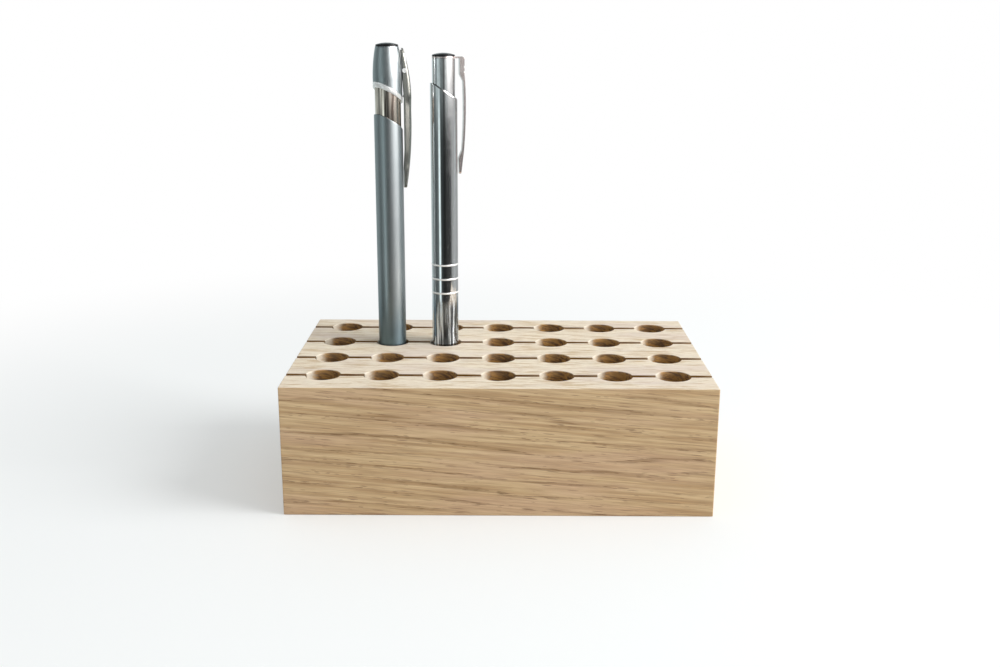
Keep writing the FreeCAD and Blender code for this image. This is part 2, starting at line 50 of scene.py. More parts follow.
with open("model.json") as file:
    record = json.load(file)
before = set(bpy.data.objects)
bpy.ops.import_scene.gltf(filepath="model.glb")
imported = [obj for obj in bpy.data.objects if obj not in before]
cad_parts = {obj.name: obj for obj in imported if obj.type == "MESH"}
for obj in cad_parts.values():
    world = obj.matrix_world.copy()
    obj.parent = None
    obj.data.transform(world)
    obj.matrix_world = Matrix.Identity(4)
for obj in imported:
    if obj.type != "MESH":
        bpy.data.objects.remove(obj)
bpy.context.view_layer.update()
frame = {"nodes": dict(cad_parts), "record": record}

MM = 0.001
ROUND = 2 * math.pi


# ---- Shader nodes as expressions ----
class Value:
    """One output of a shader node. Arithmetic on it adds Math nodes."""

    def __init__(self, graph, socket):
        self.graph = graph
        self.socket = socket

    def maths(self, operation, first, second):
        return self.graph.node("Math", {"operation": operation}, {0: first, 1: second})

    def __add__(self, other):
        return self.maths("ADD", self, other)

    def __radd__(self, other):
        return self.maths("ADD", other, self)

    def __sub__(self, other):
        return self.maths("SUBTRACT", self, other)

    def __rsub__(self, other):
        return self.maths("SUBTRACT", other, self)

    def __mul__(self, other):
        return self.maths("MULTIPLY", self, other)

    def __rmul__(self, other):
        return self.maths("MULTIPLY", other, self)

    def __truediv__(self, other):
        return self.maths("DIVIDE", self, other)

    def __pow__(self, other):
        return self.maths("POWER", self, other)


class Graph:
    """The nodes of one material, or of the world."""

    def __init__(self, tree):
        self.tree = tree
        tree.nodes.clear()

    def node(self, kind, settings=None, sockets=None, output=0):
        """Adds a node: its settings, then the values or links of its sockets."""
        made = self.tree.nodes.new("ShaderNode" + kind)
        for name, setting in (settings or {}).items():
            if name == "stops":
                self.set_stops(made.color_ramp, setting)
            else:
                setattr(made, name, setting)
        for name, value in (sockets or {}).items():
            if isinstance(value, Value):
                self.tree.links.new(value.socket, made.inputs[name])
            else:
                made.inputs[name].default_value = value
        return Value(self, made.outputs[output]) if made.outputs else None

    def set_stops(self, ramp, stops):
        while len(ramp.elements) < len(stops):
            ramp.elements.new(1.0)
        for element, (position, colour) in zip(ramp.elements, stops):
            element.position = position
            element.color = (*colour, 1.0)

    def mix(self, factor, first, second, blend="MIX"):
        """Two colours mixed by a factor."""
        settings = {"data_type": "RGBA", "blend_type": blend, "clamp_factor": True}
        return self.node("Mix", settings, {0: factor, 6: opaque(first), 7: opaque(second)}, output=2)

    def ramp(self, value, stops):
        """The colour at a value, between stops of a position and a colour."""
        return self.node("ValToRGB", {"stops": stops}, {0: value})

    def rise(self, value, low, high):
        """From 0 at the low value to 1 at the high one, with soft ends."""
        sockets = {"Value": value, "From Min": low, "From Max": high}
        return self.node("MapRange", {"interpolation_type": "SMOOTHSTEP"}, sockets)

    def size_of(self, value):
        """The value without its sign."""
        return self.node("Math", {"operation": "ABSOLUTE"}, {0: value})

    def wrapped(self, value, low, high):
        """The value as it repeats between low and high."""
        return self.node("Math", {"operation": "WRAP"}, {0: value, 1: high, 2: low})

    def vector(self, x, y, z):
        return self.node("CombineXYZ", None, {0: x, 1: y, 2: z})

    def noise(self, place, scale=1.0, detail=2.0, roughness=0.5):
        sockets = {"Vector": place, "Scale": scale, "Detail": detail, "Roughness": roughness}
        return self.node("TexNoise", None, sockets)

    def place(self):
        """Where a point is on the model, in millimetres, as three values."""
        here = self.node("TexCoord", output="Object")
        scaled = self.node("VectorMath", {"operation": "SCALE"}, {0: here, "Scale": 1000.0})
        return [self.node("SeparateXYZ", None, {0: scaled}, output=axis) for axis in range(3)]


def opaque(colour):
    if isinstance(colour, Value) or len(colour) == 4:
        return colour
    return (*colour, 1.0)


def new_finish(name):
    material = bpy.data.materials.new(name)
    material.use_nodes = True
    return material, Graph(material.node_tree)


def finish_surface(graph, **sockets):
    """The shader and its output. Names of sockets have _ for a space."""
    named = {name.replace("_", " "): value for name, value in sockets.items()}
    shader = graph.node("BsdfPrincipled", None, named)
    graph.node("OutputMaterial", None, {"Surface": shader})


def relief(graph, height, depth_mm):
    """A bump whose full height is this many millimetres deep."""
    return graph.node("Bump", None, {"Height": height, "Distance": depth_mm * MM, "Strength": 1.0})


# ---- Sizes of the stand that its wood needs, in millimetres ----
stand_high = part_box("stand_block")[1]
STAND_TOP = stand_high.z / MM
STAND_HALF_LENGTH = stand_high.x / MM
COLUMN_PITCH = 20.5
ROW_PITCH = 21.8
FIRST_HOLE_X = -61.8
FIRST_HOLE_Y = -31.7
HOLE_RADIUS = 6.0
KERF_DEPTH = 10.0
KERF_FLOOR = STAND_TOP - KERF_DEPTH
KERF_HALF_WIDTH = 1.3

# How far the grain runs forwards per millimetre to the right.
GRAIN_SKEW = 0.015

# ---- Plated metal ----
# Painted reflection: dark brown upright streaks that stand for warm things reflected in the collar.
REFLECTION_STREAK_COLOUR = (0.12, 0.06, 0.04)
# Painted reflection: dark and pale upright streaks on the chrome barrel's satin grip.
PAINTED_REFLECTION_DARK = (0.08, 0.092, 0.105)
PAINTED_REFLECTION_PALE = (0.74, 0.83, 0.92)
GRIP_BLEND = 6.0
PLATE_WAVES = 0.003

# ---- Modelling of the pens, lengths in millimetres ----
LATHE_STEPS = 96
WELD = 0.0001
MATCH = 0.001
OVERHANG = 10.0
BARREL_EDGE, LIP_EDGE = 0.25, 0.5
CAP_EDGE, RING_EDGE, HEAD_EDGE = 0.12, 0.2, 0.06
GROOVE_MARGIN, GROOVE_SIDE, GROOVE_DEPTH = 0.38, 0.12, 0.12
PLUG_RIM, PLUG_MIDWAY, PLUG_CROWN = 0.6, 1.13, 1.3
PLUG_RIM_EDGE, PLUG_FOOT_EDGE = 0.22, 0.08
PLUG_STEM, STEM_PLAY = 5.3, 0.05
CLIP_EDGE, STRIP_EDGE = 0.12, 0.1
CLIP_EDGE_ANGLE, RING_EDGE_ANGLE = math.radians(35.0), 0.5
SLICE_HEIGHT, SLICE_DEPTH = 1.0, 0.3
SLANT, SLANT_START = 0.36, 0.14
CORNER, CORNER_START = 0.26, 0.62
BEADS = 3

# ---- Stage, in metres ----
FLOOR_REACH = 6.0
FADE_START, FADE_END = 0.16, 0.42
LAMP_PLACE = Vector((1.15, -0.3, 0.8))
LAMP_TARGET = Vector((0.0, 0.0, 0.05))
LAMP_SIZE = 0.95


# ---- Finishes ----
def oak(look):
    """Oak with its grain along X: growth rings, pores, fibres and end grain, with a paler top that is partly
    sanding and partly painted sheen and light, and painted light and shade in the holes and kerfs.
    """
    material, graph = new_finish("oak_wood")
    x, y, z = graph.place()
    high = z + x * math.tan(look.grain_fall)
    deep = y + x * GRAIN_SKEW
    on_end = graph.rise(graph.size_of(x), STAND_HALF_LENGTH - 0.3, STAND_HALF_LENGTH - 0.1)
    on_top = graph.rise(z, STAND_TOP - 0.25, STAND_TOP - 0.05)

    drift = graph.noise(graph.vector(x * 0.011, deep * 0.05, high * 0.06), detail=3.0)
    ring_y = deep - look.heart_depth
    ring_z = high - look.heart_height
    radius = (ring_y * ring_y + ring_z * ring_z) ** 0.5
    rings = radius / look.ring_spacing + drift * 3.2
    phase = graph.node("Math", {"operation": "FRACT"}, {0: rings})
    early = graph.rise(phase, 0.62, 0.86) * graph.rise(phase, 1.0, 0.92)

    patch = graph.noise(graph.vector(x * 0.016, deep * 0.07, high * 0.13), detail=2.0)
    streak = graph.noise(graph.vector(x * 0.022, deep * 0.7, high * 0.95), detail=4.0, roughness=0.6)
    fibre = graph.noise(graph.vector(x * 0.085, deep * 2.6, high * 3.2), detail=3.0, roughness=0.65)
    thread = graph.noise(graph.vector(x * 0.5, deep * 8.0, high * 9.0), detail=2.0)
    pores = oak_pores(graph, x, deep, high, early)

    tone = streak + (phase * 0.2 + 0.42 - streak) * on_end
    colour = graph.mix(graph.rise(tone, 0.36, 0.66), look.tan_colour, look.pale_colour)
    colour = graph.mix(graph.rise(patch, 0.45, 0.7) * 0.6, colour, look.pink_colour)
    side_lines = graph.rise(streak, 0.62, 0.38) * graph.rise(patch, 0.3, 0.55) * (1.0 - on_end)
    lines = early * (side_lines + on_end * 0.7)
    colour = graph.mix(lines * 0.6, colour, look.line_colour)
    contrast = graph.ramp(fibre, [(0.3, (0.3, 0.3, 0.3)), (0.7, (0.7, 0.7, 0.7))])
    colour = graph.mix(0.48, colour, contrast, "OVERLAY")
    colour = graph.mix(pores * 0.75, colour, look.pore_colour)

    top_streak = graph.rise(streak, 0.5, 0.34) + graph.rise(fibre, 0.5, 0.34) * 0.6
    top_patch = graph.rise(patch, 0.48, 0.68) * 0.4
    # Painted light: the top face turns paler, partly as sanded wood and partly as painted sheen and the
    # brighter light on top.
    colour = graph.mix(on_top * look.top_paleness_and_sheen, colour, look.top_and_painted_light_colour)
    colour = graph.mix(on_top * top_streak, colour, look.top_streak_colour)
    colour = graph.mix(on_top * top_patch, colour, look.top_patch_colour)
    colour = cut_wood_and_painted_light(graph, look, colour, (x, y, z), deep, fibre)

    finish_surface(
        graph,
        Base_Color=colour,
        Roughness=0.52 + 0.14 * fibre + 0.2 * pores,
        Specular_IOR_Level=0.4,
        Normal=relief(graph, fibre * 0.5 + thread * 0.3 - pores, 0.05),
    )
    return material


def oak_pores(graph, x, deep, high, early):
    """Long open pores of three sizes, most of them in the early wood of each ring."""
    crowd = 0.12 + 0.5 * early
    wander = graph.noise(graph.vector(x * 0.07, deep * 0.4, high * 0.4)) * 0.35
    pores = 0.0
    for length, width, most in ((8.5, 0.42, 0.2), (4.0, 0.3, 0.17), (15.0, 0.36, 0.16)):
        where = graph.vector(x / length, deep / width, high / width + wander)
        sockets = {"Vector": where, "Scale": 1.0, "Randomness": 0.9}
        distance = graph.node("TexVoronoi", None, sockets)
        cell = graph.node("TexVoronoi", None, sockets, output=1)
        chance = graph.node("SeparateColor", None, {0: cell})
        found = graph.rise(distance, most + 0.1, most) * graph.rise(crowd - chance, 0.0, 0.1)
        pores = graph.node("Math", {"operation": "MAXIMUM"}, {0: pores, 1: found})
    return pores


def cut_wood_and_painted_light(graph, look, colour, place, deep, fibre):
    """The colour with the drilled wood of the holes and the sawn wood of the kerfs laid over it, with painted
    light and shade: the holes' left walls painted lit, their right sides and depths painted in shade, and the
    kerfs painted dark but paler towards the next hole.
    """
    x, y, z = place
    along = graph.wrapped(x - FIRST_HOLE_X, 0.0, COLUMN_PITCH)
    cell_x = graph.wrapped(x - FIRST_HOLE_X, -COLUMN_PITCH / 2, COLUMN_PITCH / 2)
    cell_y = graph.wrapped(y - FIRST_HOLE_Y, -ROW_PITCH / 2, ROW_PITCH / 2)
    from_centre = (cell_x * cell_x + cell_y * cell_y) ** 0.5

    drilled = graph.noise(graph.vector(x * 0.1, deep * 0.8, z * 1.1 + x * 0.3), detail=3.0, roughness=0.65)
    in_bore = graph.rise(from_centre, HOLE_RADIUS + 0.35, HOLE_RADIUS + 0.15) * graph.rise(z, 1.0, 3.0)
    # Painted light and shade: each hole's left wall takes the pale top colour as painted light, and its right
    # side takes the darker bore colour as painted shade.
    painted_shade_side = graph.rise(cell_x + drilled * 2.4, -0.68 * HOLE_RADIUS, -0.18 * HOLE_RADIUS)
    painted_light_wall = in_bore * (1.0 - painted_shade_side) * (0.5 + 0.5 * drilled)
    colour = graph.mix(painted_light_wall, colour, look.top_and_painted_light_colour)
    # The bore colour grows stronger deeper down and towards the right, as painted shade.
    depth = graph.rise(z, STAND_TOP - 0.3, STAND_TOP - 4.0)
    bore = in_bore * painted_shade_side * (0.74 + 0.16 * depth + 0.1 * graph.rise(cell_x, 0.2, HOLE_RADIUS))
    bore_wood_and_shade = graph.mix(graph.rise(drilled, 0.4, 0.62), look.bore_dark_colour, look.bore_and_shade_colour)
    colour = graph.mix(bore, colour, bore_wood_and_shade)

    # The kerfs take a dark colour, partly sawn wood and partly painted shade in the narrow slot, and it fades
    # out as painted light towards the next hole on the right.
    below_top = graph.rise(z, STAND_TOP - 0.02, STAND_TOP - 0.2)
    above_floor = graph.rise(z, KERF_FLOOR - 0.06, KERF_FLOOR - 0.01)
    across = graph.rise(graph.size_of(cell_y), KERF_HALF_WIDTH + 0.12, KERF_HALF_WIDTH + 0.03)
    in_kerf = across * below_top * above_floor * (1.0 - in_bore)
    painted_light_fade = graph.rise(along, 8.0, COLUMN_PITCH - HOLE_RADIUS)
    return graph.mix(in_kerf * (0.82 + 0.4 * fibre - 0.5 * painted_light_fade), colour, look.kerf_wood_and_shade_colour)


def satin_paint(look):
    """Blue-grey metallic paint: fine flakes, faint upright brushing, and painted shade that darkens it
    towards the nose.
    """
    material, graph = new_finish("satin_blue_grey")
    x, y, z = graph.place()
    flake = graph.noise(graph.vector(x, y, z), scale=9.0, detail=1.0)
    brushed = graph.noise(graph.vector(x * 6.0, y * 6.0, z * 0.12), detail=3.0)
    cloud = graph.noise(graph.vector(x, y, z), scale=0.08)
    colour = graph.mix(graph.rise(flake, 0.35, 0.7) * 0.35, look.paint_colour, look.flake_colour)
    colour = graph.mix(graph.rise(cloud, 0.4, 0.65) * 0.2, colour, look.paint_shade)
    # Painted shade: the paint darkens towards the nose, near the stand.
    colour = graph.mix(graph.rise(z, look.painted_shade_top, STAND_TOP) * 0.8, colour, look.nose_painted_shade_colour)
    finish_surface(
        graph,
        Base_Color=colour,
        Metallic=0.93,
        Roughness=look.paint_roughness + 0.08 * brushed,
        Specular_IOR_Level=0.5,
        Normal=relief(graph, flake * 0.5 + brushed * 0.5, 0.002),
    )
    return material


def polished(name, colour, shade, roughness, metallic=1.0, grip_top=None, streaks=0.0):
    """Plated metal: upright ripples, light wear and fine scratches, with painted dark reflection streaks if
    there are any.

    Below grip_top, where it is given, the metal is satin, with painted dark and pale upright reflections.
    """
    material, graph = new_finish(name)
    x, y, z = graph.place()
    wave = graph.noise(graph.vector(x * 1.3, y * 1.3, z * 0.05), detail=3.0)
    hair = graph.noise(graph.vector(x * 14.0, y * 14.0, z * 0.35), detail=2.0)
    haze = graph.noise(graph.vector(x, y, z), scale=0.35, detail=4.0)
    mixed = graph.mix(graph.rise(haze, 0.35, 0.75) * 0.4, colour, shade)
    worn = roughness + 0.05 * graph.rise(haze, 0.4, 0.8) + 0.02 * hair
    if streaks or grip_top:
        painted_reflection_noise = graph.noise(graph.vector(x * 0.9, y * 0.9, z * 0.03), detail=3.0, roughness=0.65)
    if streaks:
        # Painted reflection: dark upright streaks.
        mixed = graph.mix(graph.rise(painted_reflection_noise, 0.5, 0.42) * streaks, mixed, REFLECTION_STREAK_COLOUR)
    if grip_top:
        satin = graph.rise(z, grip_top, grip_top - GRIP_BLEND)
        # Below the grip top the metal is satin, and its colour carries painted dark and pale upright
        # reflections.
        mixed = graph.mix(satin, mixed, graph.mix(graph.rise(painted_reflection_noise, 0.42, 0.58), PAINTED_REFLECTION_DARK, PAINTED_REFLECTION_PALE))
        worn = worn + 0.13 * satin
    finish_surface(
        graph,
        Base_Color=mixed,
        Metallic=metallic,
        Roughness=worn,
        Normal=relief(graph, wave + hair * 0.03, PLATE_WAVES),
    )
    return material


def moulded(name, colour, shade, roughness, gloss=0.5):
    """Moulded plastic: an even colour with faint flow marks and a fine grain."""
    material, graph = new_finish(name)
    x, y, z = graph.place()
    grain = graph.noise(graph.vector(x, y, z), scale=5.0, detail=3.0)
    flow = graph.noise(graph.vector(x, y, z), scale=0.4, detail=2.0)
    finish_surface(
        graph,
        Base_Color=graph.mix(graph.rise(flow, 0.35, 0.7) * 0.6, colour, shade),
        Roughness=roughness + 0.08 * grain,
        Specular_IOR_Level=gloss,
        Normal=relief(graph, grain, 0.003),
    )
    return material


def clothe(mesh, material):
    """Gives a mesh this finish alone."""
    mesh.materials.clear()
    mesh.materials.append(material)


# ---- Modelling ----
def lathe(outline):
    """An outline of (reach, height) points in millimetres, spun about Z.

    One that starts on the axis also ends on it, and any other is closed into a tube.
    """
    bm = bmesh.new()
    points = [bm.verts.new((reach, 0.0, height)) for reach, height in outline]
    chain = list(zip(points, points[1:]))
    if outline[0][0] > 0.0:
        chain.append((points[-1], points[0]))
    edges = [bm.edges.new(pair) for pair in chain]
    bmesh.ops.spin(
        bm, geom=points + edges, cent=(0.0, 0.0, 0.0), axis=(0.0, 0.0, 1.0), angle=ROUND,
        steps=LATHE_STEPS, use_merge=True)
    bmesh.ops.remove_doubles(bm, verts=bm.verts, dist=WELD)
    bmesh.ops.recalc_face_normals(bm, faces=bm.faces)
    return bm


def arc(start, through, end, steps):
    """Points on the arc from start to end, both included, through a third point."""
    a, b, c = Vector(start), Vector(through), Vector(end)
    ab, ac = b - a, c - a
    scale = 2.0 * (ab.x * ac.y - ab.y * ac.x)
    centre = a + Vector((
        (ac.y * ab.length_squared - ab.y * ac.length_squared) / scale,
        (ab.x * ac.length_squared - ac.x * ab.length_squared) / scale))
    sweep = (a - centre).angle_signed(c - centre)
    turned = [Matrix.Rotation(-sweep * step / steps, 2) @ (a - centre) + centre for step in range(steps + 1)]
    return [tuple(point) for point in turned]


def cut_through(bm, place, normal, **options):
    """Cuts a whole mesh on a plane."""
    everything = bm.verts[:] + bm.edges[:] + bm.faces[:]
    return bmesh.ops.bisect_plane(bm, geom=everything, dist=WELD, plane_co=place, plane_no=normal, **options)


def slice_end(bm, height, slope, turn=0.0, keep_above=False):
    """Cuts a tube on a plane that falls at this turn from +X, and closes it. Gives its outer rim's edges."""
    normal = Vector((math.sin(slope) * math.cos(turn), math.sin(slope) * math.sin(turn), math.cos(slope)))
    cut = cut_through(bm, (0.0, 0.0, height), normal, clear_outer=not keep_above, clear_inner=keep_above)
    rims = [item for item in cut["geom_cut"] if isinstance(item, bmesh.types.BMEdge)]
    bmesh.ops.bridge_loops(bm, edges=rims)
    bmesh.ops.recalc_face_normals(bm, faces=bm.faces)
    widest = max(edge.verts[0].co.xy.length for edge in rims)
    return [edge for edge in rims if edge.verts[0].co.xy.length > widest - 0.05]


def rims_at(bm, height, radius):
    """The edges that run round the axis at this height and radius."""
    def on_rim(vert):
        return abs(vert.co.z - height) < MATCH and abs(vert.co.xy.length - radius) < MATCH

    return [edge for edge in bm.edges if all(on_rim(vert) for vert in edge.verts)]


def round_off(bm, edges, width, segments=3):
    """Rounds these edges to this width."""
    bmesh.ops.bevel(
        bm, geom=edges, offset=width, offset_type="OFFSET", segments=segments, profile=0.5, affect="EDGES",
        material=-1, clamp_overlap=True)


def merged_copy(node):
    """A CAD node's mesh as one clean shell, in metres and in its place."""
    bm = bmesh.new()
    bm.from_mesh(frame["nodes"][node].data)
    bmesh.ops.remove_doubles(bm, verts=bm.verts, dist=0.002 * MM)
    bmesh.ops.dissolve_limit(
        bm, angle_limit=math.radians(0.5), use_dissolve_boundaries=False, verts=bm.verts, edges=bm.edges)
    return bm


def pen_place(pen):
    """From a pen's own millimetres, standing at the origin, to its hole."""
    place = Matrix.Translation(Vector(pen.place) * MM)
    return place @ Matrix.Rotation(pen.turn, 4, "Z") @ Matrix.Scale(MM, 4)


def new_piece(name, bm, body, nodes, material, sharp=30.0, place=None):
    """An object from a mesh: in its place, smoothed up to the sharp angle, dressed, riding on its body."""
    if place:
        bmesh.ops.transform(bm, matrix=place, verts=bm.verts)
    piece = new_object(name, bm)
    mesh = piece.data
    for leftover in ("custom_normal", "sharp_face", "sharp_edge"):
        if leftover in mesh.attributes:
            mesh.attributes.remove(mesh.attributes[leftover])
    clothe(mesh, material)
    mesh.shade_smooth()
    mesh.set_sharp_from_angle(angle=math.radians(sharp))
    piece.modifiers.new("even_shading", "WEIGHTED_NORMAL").keep_sharp = True
    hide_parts(*nodes)
    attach(piece, body)
    return piece


# ---- Settings ----
def millimetres(name, description, default, lowest=0.0):
    return FloatProperty(name=name, description=description + ", in millimetres", min=lowest, default=default)


def colour_setting(name, description, default):
    return FloatVectorProperty(
        name=name, description=description, subtype="COLOR", size=3, min=0.0, max=1.0, default=default)


def angle_setting(name, description, degrees):
    return FloatProperty(name=name, description=description, subtype="ANGLE", default=math.radians(degrees))


def hole_setting(place):
    return FloatVectorProperty(
        name="Place", description="Bottom of the pen's hole, in millimetres", subtype="TRANSLATION",
        default=place)


class PENSTAND_PG_wood(bpy.types.PropertyGroup):
    tan_colour: colour_setting("Tan", "Darker of the two oak colours", (0.44, 0.28, 0.14))
    pale_colour: colour_setting("Pale", "Lighter of the two oak colours", (0.61, 0.435, 0.245))
    pink_colour: colour_setting("Pink", "Reddish patches in the oak", (0.56, 0.37, 0.235))
    line_colour: colour_setting("Ring Lines", "Early wood at each growth ring", (0.24, 0.135, 0.055))
    pore_colour: colour_setting("Pores", "Open pores along the grain", (0.15, 0.075, 0.032))
    # Pale top colour: partly sanded wood, partly painted sheen and light; it is also painted as light on the
    # holes' left walls.
    top_and_painted_light_colour: colour_setting("Top", "The paler sanded top face", (0.95, 0.88, 0.75))
    top_streak_colour: colour_setting("Top Streaks", "Darker grain on the top face", (0.6, 0.44, 0.26))
    # Drilled wood inside the holes, darker and more orange than the faces, partly as painted shade.
    bore_and_shade_colour: colour_setting("Bores", "Drilled wood inside the holes", (0.38, 0.185, 0.035))
    bore_dark_colour: colour_setting("Bore Streaks", "Dark streaks of the drilled wood", (0.08, 0.03, 0.004))
    # Sawn wood between the holes, darkened as painted shade in the slots.
    kerf_wood_and_shade_colour: colour_setting("Kerfs", "Sawn wood between the holes", (0.2, 0.09, 0.016))
    top_patch_colour: colour_setting("Top Patches", "Rosy patches on the top face", (0.66, 0.55, 0.5))
    # How far the top takes its paler colour, which is partly painted sheen and light.
    top_paleness_and_sheen: FloatProperty(
        name="Top Paleness", description="How far the top takes its paler colour",
        subtype="FACTOR", min=0.0, max=1.0, default=0.68)
    grain_fall: angle_setting("Grain Fall", "How much the grain falls to the right on the front", 4.5)
    ring_spacing: millimetres("Ring Spacing", "Width of a growth ring", 4.6, lowest=0.5)
    heart_depth: millimetres("Heart Depth", "Where the tree's heart lies along Y", 70.0, lowest=-1000.0)
    heart_height: millimetres("Heart Height", "Where the tree's heart lies along Z", -190.0, lowest=-1000.0)


class PENSTAND_PG_grey_pen(bpy.types.PropertyGroup):
    place: hole_setting((-41.3, 11.9, 18.0))
    turn: angle_setting("Turn", "Which way the clip points", 10.0)
    slope: angle_setting("Slope", "How steeply the slanted ends fall", 31.0)
    slope_turn: angle_setting("Slope Turn", "Which way the slanted ends fall, from the clip", 28.0)
    barrel_radius: millimetres("Barrel Radius", "Outside of the barrel", 5.25)
    bore_radius: millimetres("Bore Radius", "Inside of the barrel", 4.8)
    barrel_bottom: millimetres("Barrel Bottom", "Where the barrel meets the nose", 22.0)
    barrel_top: millimetres("Barrel Top", "Middle of the barrel's slanted end", 112.9)
    collar_radius: millimetres("Collar Radius", "Outside of the plated collar", 4.75)
    collar_wall: millimetres("Collar Wall", "Thickness of the plated collar", 0.4)
    collar_bottom: millimetres("Collar Bottom", "Lower end of the plated collar", 103.0)
    collar_top: millimetres("Collar Top", "Upper end of the plated collar", 127.8)
    ring_radius: millimetres("Ring Radius", "Outside of the trim ring", 5.4)
    ring_bottom: millimetres("Ring Bottom", "Middle of the trim ring's lower edge", 122.6)
    ring_top: millimetres("Ring Top", "Middle of the trim ring's upper edge", 124.4)
    cap_radius: millimetres("Cap Radius", "Outside of the cap", 5.35)
    cap_shoulder: millimetres("Cap Shoulder", "Where the cap starts to narrow", 127.3)
    cap_bow_radius: millimetres("Cap Bow Radius", "Outside of the cap halfway up its narrowing", 4.97)
    cap_bow: millimetres("Cap Bow", "Height of that point", 135.5)
    cap_top_radius: millimetres("Cap Top Radius", "Outside of the cap at its top", 4.25)
    cap_top: millimetres("Cap Top", "Top of the cap's metal", 140.0)
    cap_rim_bore: millimetres("Cap Rim Bore", "Hole that the plug sits in", 3.6)
    cap_bore_top: millimetres("Cap Bore Top", "Where the cap's bore ends", 133.6)
    plug_radius: millimetres("Plug Radius", "Outside of the black plug", 4.15)
    clip_flank: millimetres("Clip Flank", "Nearest to the clip's middle that its flanks lie", 0.9)
    clip_step: millimetres("Clip Step", "Where the clip's flanks get deeper", 121.9)
    clip_leaf: millimetres("Clip Leaf", "Where the clip's leaf-shaped tip starts", 95.3)
    clip_pin: millimetres("Clip Pin", "Just below the pin that the clip turns on", 129.8)
    clip_trim: millimetres("Clip Trim", "How far the flanks step back from the cap above their step", 0.5)


class PENSTAND_PG_chrome_pen(bpy.types.PropertyGroup):
    place: hole_setting((-20.8, 11.9, 18.0))
    turn: angle_setting("Turn", "Which way the clip points", 11.0)
    slope: angle_setting("Slope", "How the slanted end falls towards the clip", 31.0)
    barrel_radius: millimetres("Barrel Radius", "Outside of the barrel", 5.0)
    bore_radius: millimetres("Bore Radius", "Inside of the barrel", 4.55)
    lip_bore: millimetres("Lip Bore", "Inside of the barrel where it guides the head", 4.25)
    lip_bottom: millimetres("Lip Bottom", "Where the narrower bore starts", 109.3)
    barrel_bottom: millimetres("Barrel Bottom", "Where the barrel meets the nose", 20.0)
    barrel_top: millimetres("Barrel Top", "Middle of the barrel's slanted end", 124.4)
    bead_lowest: millimetres("Lowest Bead", "Height of the lowest bead", 49.1)
    bead_pitch: millimetres("Bead Pitch", "From one bead to the next", 5.4)
    bead_height: millimetres("Bead Height", "Width of a bead along the pen", 0.65)
    bead_projection: millimetres("Bead Projection", "How far a bead stands out", 0.12)
    bead_depth: millimetres("Bead Depth", "How deep a bead sits in the barrel", 0.15)
    head_radius: millimetres("Head Radius", "Outside of the sliding head", 4.2)
    head_bore: millimetres("Head Bore", "Inside of the sliding head", 3.75)
    head_bottom: millimetres("Head Bottom", "Lower end of the head", 108.0)
    head_flange_top: millimetres("Head Flange Top", "Top of the flange that stops the head", 109.0)
    head_flange_radius: millimetres("Head Flange Radius", "Outside of that flange", 4.5)
    head_top: millimetres("Head Top", "Upper end of the head", 135.9)
    clip_top: millimetres("Clip Top", "Top of the clip's washer", 136.5)
    plug_radius: millimetres("Plug Radius", "Outside of the black plug", 4.2)


class PENSTAND_PG_finishes(bpy.types.PropertyGroup):
    paint_colour: colour_setting("Paint", "Grey pen's paint", (0.36, 0.41, 0.425))
    paint_shade: colour_setting("Paint Shade", "Darker clouds in the grey pen's paint", (0.3, 0.35, 0.365))
    # Colour of the painted shade on the grey pen towards its nose.
    nose_painted_shade_colour: colour_setting("Dull Paint", "Grey pen's paint down at its nose", (0.07, 0.13, 0.165))
    # Height above the table where the painted shade on the grey pen starts.
    painted_shade_top: millimetres("Dull Top", "Height above the table where the paint starts to dull", 76.0)
    flake_colour: colour_setting("Flakes", "Metal flakes in the grey pen's paint", (0.52, 0.56, 0.57))
    paint_roughness: FloatProperty(
        name="Paint Roughness", description="How satin the grey pen is", min=0.05, max=1.0, default=0.3)
    chrome_colour: colour_setting("Chrome", "Plated pieces of both pens", (0.8, 0.815, 0.82))
    chrome_shade: colour_setting("Chrome Shade", "Handled places on the plated pieces", (0.66, 0.675, 0.68))
    # Near-white satin plating, partly metal colour and partly painted highlight.
    bead_and_highlight_colour: colour_setting("Beads", "Satin beads round the chrome barrel", (0.93, 0.93, 0.92))
    # Plated collar colour, whose warm cream tint is partly painted reflection of warm surroundings.
    collar_and_reflection_colour: colour_setting("Collar", "Plated collar of the grey pen", (1.0, 0.89, 0.78))
    # Handled places on the collar, with the same warm tint of painted reflection.
    collar_shade: colour_setting("Collar Shade", "Handled places on the collar", (0.8, 0.7, 0.59))
    clip_colour: colour_setting("Clips", "Plated clips of both pens", (0.42, 0.425, 0.39))
    clip_shade: colour_setting("Clip Shade", "Handled places on the clips", (0.31, 0.32, 0.28))
    # Plated strip colour, whose pink tint is partly painted reflection of the oak.
    strip_and_reflection_colour: colour_setting("Strip", "Chrome pen's folded clip", (0.74, 0.67, 0.65))
    # Handled places on the strip, with the same pink tint of painted reflection.
    strip_shade: colour_setting("Strip Shade", "Handled places on that clip", (0.52, 0.43, 0.41))
    # Below this height the chrome barrel is satin and carries painted reflections.
    grip_top: millimetres("Grip Top", "Height above the table where the chrome barrel turns satin", 66.5)
    plug_colour: colour_setting("Plug", "Black discs on top of both pens", (0.012, 0.012, 0.013))


